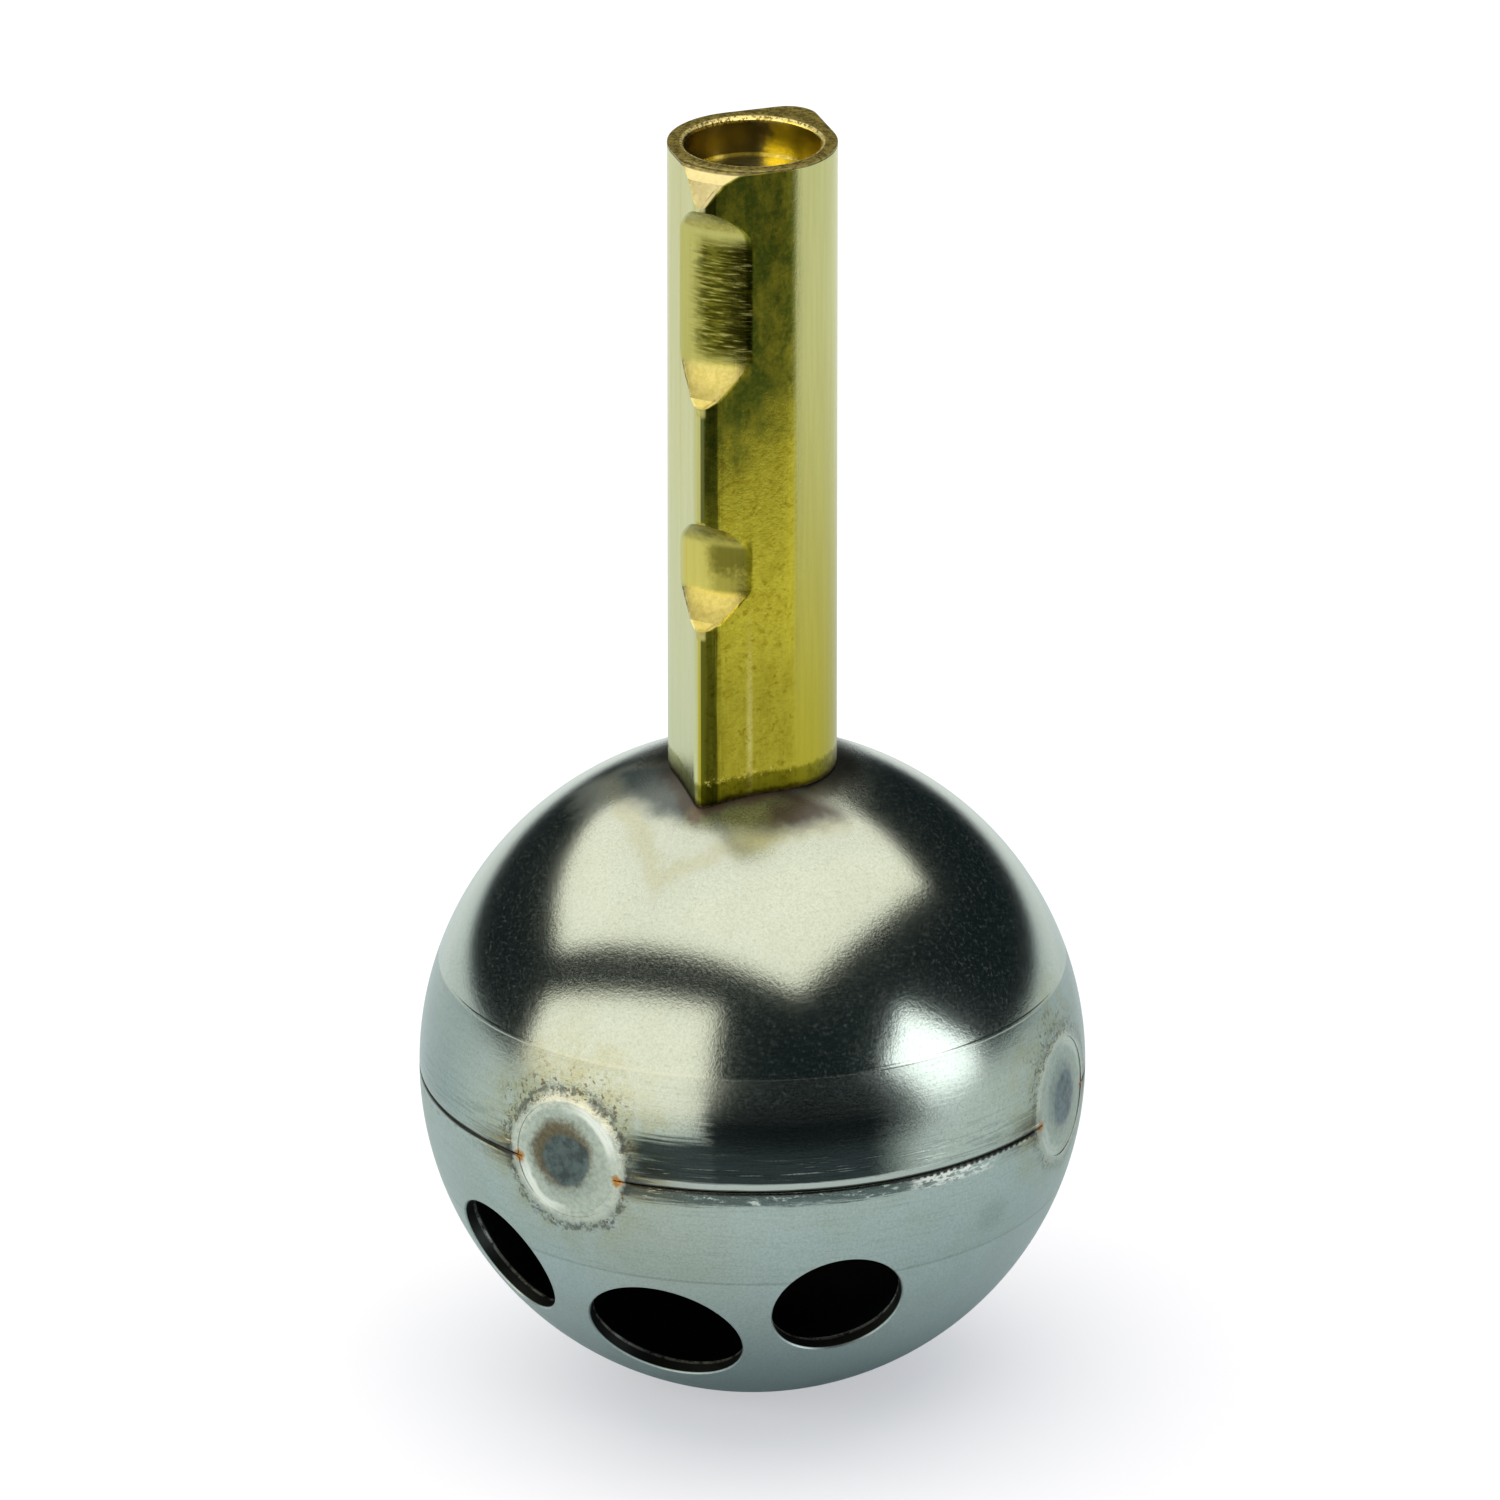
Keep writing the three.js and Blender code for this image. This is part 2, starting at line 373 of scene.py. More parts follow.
def squareBar(name, inset, low, high):
    # a square bar on its corner, its four edges rounded one by one
    halfSide = stem["halfSide"] - inset
    bpy.ops.mesh.primitive_cube_add(size=1, location=(0, 0, (low + high) / 2),
                                    rotation=(0, 0, math.radians(45)),
                                    scale=(2 * halfSide, 2 * halfSide, high - low))
    bar = newest(name)
    settle(bar)
    corner = halfSide * math.sqrt(2)
    rounds = [
        (Vector((corner, 0)), halfSide * 0.9999, 24),
        (Vector((-corner, 0)), halfSide * 0.9999, 24),
        (Vector((0, -corner)), stem["ridgeRadius"] - inset, 10),
        (Vector((0, corner)), stem["rearRadius"] - inset, 12),
    ]
    for at, radius, steps in rounds:
        editing(bar, "EDGE")
        pick(bar, "edges", lambda a, b: abs(a.z - b.z) > 1 * mm
             and (a.xy - at).length < 0.01 * mm and (b.xy - at).length < 0.01 * mm)
        bpy.ops.mesh.bevel(offset=radius, segments=steps, affect="EDGES", clamp_overlap=False)
        done()
    editing(bar)
    bpy.ops.mesh.select_all(action="SELECT")
    bpy.ops.mesh.remove_doubles(threshold=0.0005 * mm)
    done()
    return bar


def ridgeSideTool(name, profile, low, high):
    # what lies outside a turned core, on the ridge's side only
    side = stem["halfSide"] * 2
    bpy.ops.mesh.primitive_cube_add(size=1, location=(0, -side / 2, (low + high) / 2),
                                    scale=(2 * side, side, high - low))
    block = newest(name)
    settle(block)
    carve(block, turned("core", profile, 192))
    return block


def notchTool(low, high, footEnd):
    floor = stem["notchFloor"]
    foot = [(floor + growth * mm, low - drop * mm) for drop, growth in reversed(footEnd)]
    top = [(floor + growth * mm, high + rise * mm) for rise, growth in stem["notchTopEnd"]]
    profile = [(foot[0][0], foot[0][1] - 1 * mm)] + foot + [(floor, low), (floor, high)] + top
    profile.append((top[-1][0], top[-1][1] + 1 * mm))
    return ridgeSideTool("notchTool", profile, foot[0][1], top[-1][1])


def bevelTool():
    cone = [(radius * mm, stem["top"] - depth * mm) for radius, depth in stem["bevel"]]
    profile = [(cone[0][0], cone[0][1] - 1 * mm)] + cone + [(cone[-1][0], stem["top"] + 2 * mm)]
    return ridgeSideTool("bevelTool", profile, cone[0][1], stem["top"] + 1 * mm)


def boreTool():
    floor, lip = stem["top"] - stem["boreDepth"], stem["boreEdge"]
    return turned("boreTool", [
        (stem["boreRadius"], floor), (stem["boreRadius"], stem["top"] - lip),
        (stem["boreRadius"] + 2 * lip, stem["top"] + lip)], 128)


def makeStem():
    bar = squareBar("stem", 0, stem["bottom"], stem["top"])
    carve(bar, bevelTool())
    carve(bar, boreTool())
    for low, high, footEnd in stem["notches"]:
        carve(bar, notchTool(low, high, footEnd))
    carve(bar, globe("cope", ball["radius"] + stem["filmThickness"]))
    print("stem milled")
    finishWith(bar, "BEVEL", width=stem["edgeBevel"], segments=2, limit_method="ANGLE",
               angle_limit=math.radians(32))
    carve(bar, turned("tenon", [(stem["tenonRadius"], stem["headLow"]),
                                (stem["tenonRadius"], ball["radius"] + 0.6 * mm)]), "UNION")
    head = turned("head", [(stem["headRadius"] - 0.15 * mm, stem["headLow"]),
                           (stem["headRadius"], stem["headLow"] + 0.15 * mm),
                           (stem["headRadius"], stem["headLow"] + 2 * mm)])
    carve(head, globe("headCup", ball["radius"] - ball["wall"] - 0.02 * mm), "INTERSECT")
    carve(bar, head, "UNION")
    return bar


def makeFilm():
    piece = squareBar("brazeFilm", 0.06 * mm, stem["bottom"] - 0.4 * mm, 13.4 * mm)
    carve(piece, globe("filmTop", ball["radius"] + stem["filmThickness"] - 0.01 * mm), "INTERSECT")
    carve(piece, globe("filmUnder", ball["radius"] + 0.01 * mm))
    carve(piece, turned("filmHole", [(ball["stemHole"], 8 * mm), (ball["stemHole"], 14 * mm)]))
    return piece


stemPiece = makeStem()
film = makeFilm()
smooth(stemPiece, 15)
finishWith(stemPiece, "WEIGHTED_NORMAL", mode="FACE_AREA", weight=80, keep_sharp=True)
smooth(film)
place(stemPiece, "brass", "stem")
place(film, "braze", "braze_film")
print("stem made")


# ---- finishes ----

class Shade:
    # one socket of a finish, so that masks and marks are written as sums

    def __init__(self, tree, socket=None):
        self.tree = tree
        self.socket = socket

    def node(self, kind, settings, values, output=0):
        made = self.tree.nodes.new(kind)
        for name, value in settings.items():
            if name == "stops":
                stops = made.color_ramp.elements
                stops[0].position, stops[0].color = value[0]
                stops[1].position, stops[1].color = value[-1]
                for at, colour in value[1:-1]:
                    stops.new(at).color = colour
            else:
                setattr(made, name, value)
        for key, value in values.items():
            if isinstance(value, Shade):
                self.tree.links.new(value.socket, made.inputs[key])
            else:
                made.inputs[key].default_value = value
        return Shade(self.tree, made.outputs[output])

    def maths(self, operation, first, second=0.0):
        return self.node("ShaderNodeMath", {"operation": operation}, {0: first, 1: second})

    def __add__(self, other):
        return self.maths("ADD", self, other)

    def __radd__(self, other):
        return self.maths("ADD", other, self)

    def __sub__(self, other):
        return self.maths("SUBTRACT", self, other)

    def __rsub__(self, other):
        return self.maths("SUBTRACT", other, self)

    def __mul__(self, other):
        return self.maths("MULTIPLY", self, other)

    def __rmul__(self, other):
        return self.maths("MULTIPLY", other, self)

    def size(self):
        return self.maths("ABSOLUTE", self)

    def atMost(self, other):
        return self.maths("MINIMUM", self, other)

    def atLeast(self, other):
        return self.maths("MAXIMUM", self, other)

    def rise(self, low, high):      # 0 below low, 1 above high; falls when low is above high
        return self.node("ShaderNodeMapRange", {"interpolation_type": "SMOOTHSTEP"},
                         {"Value": self, "From Min": low, "From Max": high})

    def line(self, at, halfWidth, soft):    # 1 along a line where the value is near at
        return (self - at).size().rise(halfWidth + soft, halfWidth)

    def stretch(self, x, y, z):
        return self.node("ShaderNodeVectorMath", {"operation": "MULTIPLY"}, {0: self, 1: (x, y, z)})

    def shift(self, x, y, z):
        return self.node("ShaderNodeVectorMath", {"operation": "ADD"}, {0: self, 1: (x, y, z)})

    def awayFrom(self, point):
        return self.node("ShaderNodeVectorMath", {"operation": "DISTANCE"}, {0: self, 1: point}, 1)

    def grain(self, scale, detail=2.0, rough=0.5):
        return self.node("ShaderNodeTexNoise", {}, {"Vector": self, "Scale": scale,
                                                    "Detail": detail, "Roughness": rough})

    def ramp(self, stops):
        return self.node("ShaderNodeValToRGB", {"stops": stops}, {0: self})

    def over(self, base, colour):   # this mask lays a colour over a base colour
        return self.node("ShaderNodeMix", {"data_type": "RGBA"}, {0: self, 6: base, 7: colour}, 2)

    def tinted(self, base, colour):     # this mask multiplies a base colour by a tint
        return self.node("ShaderNodeMix", {"data_type": "RGBA", "blend_type": "MULTIPLY"},
                         {0: self, 6: base, 7: colour}, 2)


def newFinish(name):
    finish = bpy.data.materials.new(name)
    finish.use_nodes = True
    tree = finish.node_tree
    start = Shade(tree)
    metres = start.node("ShaderNodeTexCoord", {}, {}, 3)
    place = metres.stretch(1000, 1000, 1000)
    return finish, place


def axes(place):
    return [place.node("ShaderNodeSeparateXYZ", {}, {0: place}, index) for index in range(3)]


def outTo(x, y, azimuth):        # how far a place lies out towards an azimuth, mm
    side = outward(azimuth, 0)
    return x * side.x + y * side.y


def fromAxis(x, y):
    square = x * x + y * y
    return square.maths("SQRT", square)


def metalOut(finish, colour, roughness, height, depth, bare=None):
    # bare is 1 where the metal is clean, less where scale or grime dulls it
    tree = finish.node_tree
    shader = tree.nodes["Principled BSDF"]
    shader.inputs["Metallic"].default_value = 1
    if bare:
        tree.links.new(bare.socket, shader.inputs["Metallic"])
    tree.links.new(colour.socket, shader.inputs["Base Color"])
    tree.links.new(roughness.socket, shader.inputs["Roughness"])
    bump = colour.node("ShaderNodeBump", {}, {"Height": height, "Distance": depth, "Strength": 1.0})
    tree.links.new(bump.socket, shader.inputs["Normal"])


def coat(piece, finish):
    piece.data.materials.clear()
    piece.data.materials.append(finish)


def grey(level, red=1.0, green=1.0, blue=1.0):
    return (level * red, level * green, level * blue, 1)


steelLook = {
    "base": (0.38, 0.45, 0.425),
    "lowerBase": (0.395, 0.475, 0.475),
    "upperRoughness": 0.16,
    "lowerRoughness": 0.33,
    "bandTop": 4.33,           # edges of the turned band, mm
    "bandBottom": -4.05,
    "frontStreaks": (32, 27),  # where the streaks above the seam are strong: azimuth, half width
    "streakSoft": 9,
    "reach": 12.7,
    "flankShadeAzimuth": 27,
    "bumpDepth": 0.012 * mm,
    "cloudTint": (0.88, 0.88, 0.80, 1),
    "sandTint": (0.72, 0.75, 0.70, 1),
    "streakTint": (0.34, 0.37, 0.37, 1),
    "gouge": (0.70, 0.76, 0.74, 1),
    "flankShadeTint": (0.60, 0.68, 0.73, 1),
    "bandEdge": (0.50, 0.54, 0.48, 1),
    "reflectionShadeTint": (0.045, 0.06, 0.07, 1),
    "shadeScratch": (0.30, 0.34, 0.32, 1),
    "rolledEdgeHighlight": (0.44, 0.50, 0.48, 1),
    "seamGapShade": (0.03, 0.034, 0.03, 1),
    "heatRound": (0.16, 0.13, 0.11, 1),
    "heatEdge": (0.86, 0.80, 0.62, 1),
    "lowerBandTint": (0.78, 0.79, 0.74, 1),
    "lowerBandEdge": (0.62, 0.66, 0.62, 1),
    "warmTint": (0.95, 0.89, 0.80, 1),
    "tornTint": (0.20, 0.23, 0.23, 1),
    "tornPale": (0.60, 0.64, 0.60, 1),
    "chip": (0.80, 0.83, 0.80, 1),
    "bruiseTint": (0.6, 0.64, 0.64, 1),
}

weldLook = {                   # core, scale round it, share of the scale, of the stain, of the soot and painted shade at the ring's edge
    "spots": [
        ((0.075, 0.105, 0.108), (0.125, 0.105, 0.060), 0.95, 1.0, 1.0),
        ((0.13, 0.175, 0.20), (0.16, 0.21, 0.23), 0.4, 0.85, 0.35),
        ((0.09, 0.12, 0.13), (0.13, 0.10, 0.07), 0.8, 0.8, 0.9),
        ((0.11, 0.15, 0.16), (0.12, 0.115, 0.09), 0.6, 0.7, 0.7),
    ],
    "paleRing": (0.46, 0.53, 0.47, 1),
    "rust": (0.40, 0.19, 0.05, 1),
    "speck": (0.105, 0.080, 0.045, 1),
    "sootAndShade": (0.055, 0.062, 0.060, 1),
    "stain": (0.90, 0.84, 0.66, 1),
    "scorch": (0.55, 0.42, 0.22, 1),
}


def weldMarks(place, colour, roughness, height):
    # what a spot weld leaves: core, brown scale, pale pressed ring, speckled edge, stain; with
    # painted shade on the ring's upper left and its edge, and painted highlight crescents
    wobble = place.grain(0.9, 2) - 0.5
    fine = place.grain(5.2, 3, 0.65)
    dust = place.shift(5, 5, 5).grain(3.6, 1.5, 0.5)
    seamLines = place.shift(9, 3, 0).stretch(0.5, 0.5, 6.0).grain(1.3, 3, 0.6)
    x, y, z = axes(place)
    for azimuth, spot in zip(welds["azimuths"], weldLook["spots"]):
        core, scale, scaleShare, stain, sootAndShade = spot
        centre = outward(azimuth, welds["latitude"]) * ball["radius"] / mm
        east = outward(azimuth + 90, 0)
        across = x * east.x + y * east.y
        near = place.awayFrom(tuple(centre))
        loose = near + wobble * 0.55
        # stain and loose specks, strongest above and along the seam
        blotch = place.shift(3, 7, 1).grain(1.3, 4, 0.6)
        spread = near + wobble * 2.6 - (z * 0.25).atMost(0.6)
        tan = spread.rise(5.2, 2.4) * blotch.rise(0.30, 0.62) * stain
        colour = tan.tinted(colour, weldLook["stain"])
        specks = fine.rise(0.54, 0.62) * (near + wobble * 2.0 - z * 0.22).rise(3.35, 2.5)
        colour = (specks * stain * 0.85).over(colour, weldLook["speck"])
        # scorched streaks where the seam runs into the ring
        along = across.size().rise(5.4, 2.4) * near.rise(6.2, 5.0)
        seamScorch = (z - 0.1).size().rise(1.1, 0.2) * along * seamLines.rise(0.36, 0.60)
        colour = (seamScorch * stain).tinted(colour, weldLook["scorch"])
        darkLines = (z - 0.05).size().rise(0.75, 0.25) * along * seamLines.rise(0.53, 0.47)
        colour = (darkLines * 0.88).over(colour, weldLook["sootAndShade"])
        paleLines = (z - 0.2).size().rise(0.8, 0.3) * along * seamLines.rise(0.60, 0.66)
        colour = (paleLines * stain * 0.7).over(colour, (0.78, 0.76, 0.58, 1))
        # the ring
        # along the ring's outer edge: dark pits with painted shade, then brown specks
        edge = (loose + (fine - 0.5) * 0.9).line(2.74, 0.07, 0.24)
        colour = (edge * dust.rise(0.42, 0.58) * 0.7 * sootAndShade).over(colour, weldLook["sootAndShade"])
        colour = (edge * dust.rise(0.52, 0.40) * fine.rise(0.5, 0.6) * stain * 0.8).over(
            colour, weldLook["speck"])
        outer = (loose + (fine - 0.5) * 0.4).rise(2.72, 2.45)
        outerTone = fine.rise(0.35, 0.65).over((0.42, 0.47, 0.43, 1), (0.60, 0.64, 0.56, 1))
        colour = (outer * (0.3 + 0.55 * sootAndShade)).over(colour, outerTone)
        pale = (loose + (fine - 0.5) * 0.25).rise(2.28, 1.95)
        ringTone = fine.rise(0.25, 0.75).over((0.33, 0.39, 0.35, 1), weldLook["paleRing"])
        # painted shade: the pressed ring's upper left is tinted darker and bluer
        ringTopShade = (across * -0.5 + z * 0.85 + wobble * 1.6).rise(0.2, 1.7)
        ringTone = (ringTopShade * 0.4).tinted(ringTone, (0.78, 0.84, 0.88, 1))
        colour = (pale * 0.9).over(colour, ringTone)
        # painted highlight: bright crescents on the inner edge of the pressed ring
        crescentHighlight = (across * 0.75 - (z - 0.4) * 0.65).size().rise(1.7, 0.5)
        crescentHighlight = crescentHighlight * loose.line(2.12, 0.10, 0.20)
        colour = (crescentHighlight * 0.85 * sootAndShade).over(colour, (0.80, 0.84, 0.80, 1))
        for side in (-2.25, 2.25):
            end = (Vector((centre.x, centre.y, 0)) + east * side).normalized() * ball["radius"] / mm
            dot = (place.awayFrom(tuple(end)) + (fine - 0.5) * 0.35).rise(0.34, 0.10)
            colour = (dot * stain).over(colour, weldLook["rust"])
        # the scale sits a little off the core
        offset = tuple(centre - east * 0.26 + Vector((0, 0, 0.22)))
        scaleEdge = (place.awayFrom(offset) + wobble * 0.35 + (fine - 0.5) * 0.35).rise(1.62, 1.05)
        scaleTone = fine.rise(0.3, 0.7).over(grey(0.75, *scale), grey(1.25, *scale))
        colour = (scaleEdge * scaleShare).over(colour, scaleTone)
        dark = (near + wobble * 0.25 + (fine - 0.5) * 0.2).rise(1.16, 0.88)
        mottle = place.shift(8, 2, 4).grain(2.4, 4, 0.7)
        coreTone = mottle.rise(0.34, 0.66).over(grey(0.75, *core), grey(1.75, *core))
        colour = dark.over(colour, coreTone)
        roughness = roughness + (0.40 - roughness) * pale
        lip = near.rise(2.75, 2.25) - near.rise(2.2, 1.5) * 1.1
        height = height + lip * 3.2 + edge * dust * -1.5 + scaleEdge * fine * 0.8
    return colour, roughness, height


def portWallShadeAndHighlight(place, colour, roughness):
    # inside the ports the wall is painted dark as shade, with a painted highlight on the burr along
    # its inner edge
    depth = place.awayFrom((0, 0, 0))
    wall = depth.rise(12.655, 12.60)
    burrHighlight = depth.line(12.20, 0.035, 0.05) * place.grain(2.2, 3, 0.7).rise(0.36, 0.56)
    colour = (wall * 0.93).over(colour, (0.045, 0.052, 0.050, 1))
    colour = burrHighlight.over(colour, (0.62, 0.66, 0.63, 1))
    roughness = roughness + (0.42 - roughness) * wall
    return colour, roughness


def beside(x, y):               # how far outside the stem's outline a place is
    square = (x - y).size().atLeast((x + y).size()) * math.sqrt(0.5)
    circle = fromAxis(x, y)
    side = (x.size() - y.size()).rise(-0.02, 0.02)
    return square + (circle - square) * side - stem["halfSide"] / mm


def steelFinish(name, upper):
    finish, place = newFinish(name)
    x, y, z = axes(place)
    base = steelLook["base" if upper else "lowerBase"]
    grain = place.grain(11.0, 2, 0.7)
    sand = place.shift(3, 1, 2).grain(7.0, 3, 0.75)
    cloud = place.grain(0.55, 3)
    lines = place.stretch(0.30, 0.30, 7.0).grain(1.5, 4, 0.62)       # turning lines round the ball
    gouges = place.shift(1, 4, 2).stretch(0.16, 0.16, 5.0).grain(1.6, 3, 0.6)
    colour = grain.rise(0.28, 0.72).over(grey(0.90, *base), grey(1.09, *base))
    colour = (cloud.rise(0.4, 0.7) * 0.3).tinted(colour, steelLook["cloudTint"])
    colour = (sand.rise(0.50, 0.70) * 0.4).tinted(colour, steelLook["sandTint"])
    middle, half = steelLook["frontStreaks"]
    reach, soft = steelLook["reach"], steelLook["streakSoft"]
    front = outTo(x, y, middle).rise(reach * math.cos(math.radians(half + soft)),
                                     reach * math.cos(math.radians(half - soft)))
    if upper:
        band = z.rise(steelLook["bandTop"] + 0.05, steelLook["bandTop"] - 0.05)
        nearSeam = z.rise(2.2, 0.4)
        roughness = steelLook["upperRoughness"] + (grain - 0.5) * 0.16 + band * 0.05
        streak = lines.rise(0.50, 0.60) * band * (0.12 + nearSeam * 0.4)
        colour = (streak * 0.85).tinted(colour, steelLook["streakTint"])
        bright = gouges.rise(0.57, 0.62) * z.rise(1.4, 0.9) * front
        colour = (bright * 0.6).over(colour, steelLook["gouge"])
        # painted shade: the turned band is tinted darker and bluer on its flanks, away from azimuth
        # 27
        flankShade = outTo(x, y, steelLook["flankShadeAzimuth"]).rise(8.6, 4.0) * band
        colour = (flankShade * 0.85).tinted(colour, steelLook["flankShadeTint"])
        edge = z.line(steelLook["bandTop"], 0.03, 0.06)
        colour = (edge * 0.25).over(colour, steelLook["bandEdge"])
        # painted shade above the seam, between the front weld and the right-hand one, standing in
        # for a dark reflection, with lighter scratch lines in it
        turn = x.maths("ARCTAN2", x, y * -1.0)      # radians from the ridge
        loose = turn + (grain - 0.5) * 0.05 + (lines - 0.5) * 0.10
        darkReflectionShade = loose.rise(0.30, 0.36) * loose.rise(1.04, 0.82)
        darkReflectionShade = darkReflectionShade * (z + (lines - 0.5) * 0.6).rise(4.4, 2.4)
        sideReflectionShade = loose.rise(0.04, 0.14) * loose.rise(0.46, 0.36)
        sideReflectionShade = sideReflectionShade * (z + (lines - 0.5)).rise(2.2, 1.7)
        darkReflectionShade = darkReflectionShade.atLeast(sideReflectionShade * 0.97)
        colour = (darkReflectionShade * 0.97).tinted(colour, steelLook["reflectionShadeTint"])
        scratchesInShade = gouges.rise(0.58, 0.64) * z.rise(1.9, 0.5) * darkReflectionShade
        colour = (scratchesInShade * (0.20 + grain.rise(0.4, 0.6) * 0.4)).over(colour, steelLook["shadeScratch"])
        # painted highlight on its rolled edge, strongest in front, and painted shade in the gap
        # under it
        rolledHighlight = (z + (lines - 0.5) * 0.12).rise(0.38, 0.30)
        colour = (rolledHighlight * (0.15 + front * 0.75)).over(colour, steelLook["rolledEdgeHighlight"])
        gapShade = (z + (lines - 0.5) * 0.08).rise(0.13, 0.09)
        colour = (gapShade * 0.9).over(colour, steelLook["seamGapShade"])
        height = grain * 0.22 + sand * 0.26 + lines * band * (0.12 + nearSeam * 0.25)
        height = height + edge * 0.3 + bright * 0.5
        # heat colours round the foot of the stem
        haze = place.grain(1.1, 4, 0.6)
        foot = beside(x, y) + (haze - 0.5) * 1.3
        left = (x + (haze - 0.5) * 0.8).rise(-0.1, -0.7)
        brown = (x + (haze - 0.5) * 1.6).rise(1.9, 3.1)
        gold = grain.rise(0.3, 0.7).over((0.052, 0.070, 0.028, 1), (0.125, 0.150, 0.062, 1))
        gold = foot.rise(0.5, 0.1).over(gold, (0.06, 0.038, 0.020, 1))
        warm = brown.over(gold, (0.020, 0.012, 0.008, 1))
        cool = foot.rise(0.2, 0.7).over((0.016, 0.012, 0.011, 1), (0.040, 0.066, 0.076, 1))
        ring = fromAxis(x, y)
        oxide = ((ring - 3.9) * 1.2 + (haze - 0.5) * 1.2).rise(2.2, 0.8) * y.rise(-1.0, -2.2)
        colour = (oxide * 0.94).over(colour, left.over(warm, cool))
        around = foot.rise(1.6, 0.3) * (1 - y.rise(-1.2, -2.6))
        colour = (around * 0.9).tinted(colour, steelLook["heatRound"])
        tintEdge = foot.line(2.2, 0.1, 0.5) * y.rise(-1.2, -2.6)
        colour = (tintEdge * 0.5).tinted(colour, steelLook["heatEdge"])
        apron = foot.rise(4.2, 2.4) * y.rise(-1.2, -2.6) * (1 - oxide)
        bare = 1 - oxide * 0.55 - sand.rise(0.54, 0.68) * 0.11 - apron * 0.3
        roughness = roughness + foot.rise(2.4, 0.4) * 0.14
    else:
        bare = None
        band = z.rise(steelLook["bandBottom"] - 0.05, steelLook["bandBottom"] + 0.05)
        roughness = steelLook["lowerRoughness"] + (grain - 0.5) * 0.12 + cloud * 0.04
        colour = (band * (0.18 + lines.rise(0.50, 0.66) * 0.35)).tinted(
            colour, steelLook["lowerBandTint"])
        edge = z.line(steelLook["bandBottom"], 0.03, 0.05)
        colour = (edge * 0.5).tinted(colour, steelLook["lowerBandEdge"])
        warmSide = place.awayFrom(tuple(outward(10, -12) * ball["radius"] / mm))
        colour = (warmSide.rise(4.6, 1.0) * 0.6).tinted(colour, steelLook["warmTint"])
        # torn band just under the seam: dark and mottled in front, bright and chipped to the right
        torn = (z + (lines - 0.5) * 0.7 + (grain - 0.5) * 0.25).rise(-0.66, -0.42)
        pits = place.shift(2, 2, 2).stretch(0.55, 0.55, 1.5).grain(4.0, 3, 0.65)
        chipSide = outTo(x, y, 64).rise(12.48, 12.64)
        colour = (torn * front * pits.rise(0.30, 0.46) * 0.9).tinted(colour, steelLook["tornTint"])
        colour = (torn * front * pits.rise(0.40, 0.30) * 0.6).over(colour, steelLook["tornPale"])
        chips = torn * chipSide * pits.rise(0.54, 0.47)
        chips = chips * (z + (lines - 0.5) * 0.5).rise(-0.05, -0.16)
        colour = (chips * 0.8).over(colour, steelLook["chip"])
        colour = (torn * (1 - front) * pits.rise(0.52, 0.66) * 0.4).tinted(
            colour, (0.4, 0.4, 0.36, 1))
        # painted shade in the seam's gap, broken into dashes, on the right
        dashes = (x * 0.45 + y * 0.9) * 20.0 + place.grain(2.0, 1) * 4.0
        gapSide = outTo(x, y, 74).rise(11.7, 12.2)
        gapDashShade = z.rise(-0.20, -0.13) * gapSide * dashes.maths("SINE", dashes).rise(-0.5, 0.2)
        colour = (gapDashShade * 0.92).over(colour, (0.02, 0.022, 0.02, 1))
        # painted shade in the seam's gap at the lower shell's edge
        gapShade = (z + (lines - 0.5) * 0.10).rise(-0.14, -0.09)
        colour = (gapShade * 0.9).over(colour, steelLook["seamGapShade"])
        roughness = roughness - torn * front * 0.08
        height = grain * 0.30 + torn * pits * 1.6 * (0.3 + front) + band * lines * 0.2
        bruise = place.awayFrom(tuple(outward(74, -13) * ball["radius"] / mm))
        colour = (bruise.rise(1.1, 0.3) * 0.3).tinted(colour, steelLook["bruiseTint"])
        height = height + bruise.rise(1.0, 0.2) * -2.0
    colour, roughness, height = weldMarks(place, colour, roughness, height)
    colour, roughness = portWallShadeAndHighlight(place, colour, roughness)
    metalOut(finish, colour, roughness, height, steelLook["bumpDepth"], bare)
    return finish


brassLook = {
    "gold": (0.43, 0.375, 0.036),
    "pale": (0.54, 0.54, 0.25),
    "roughness": 0.24,
    "bumpDepth": 0.012 * mm,
}


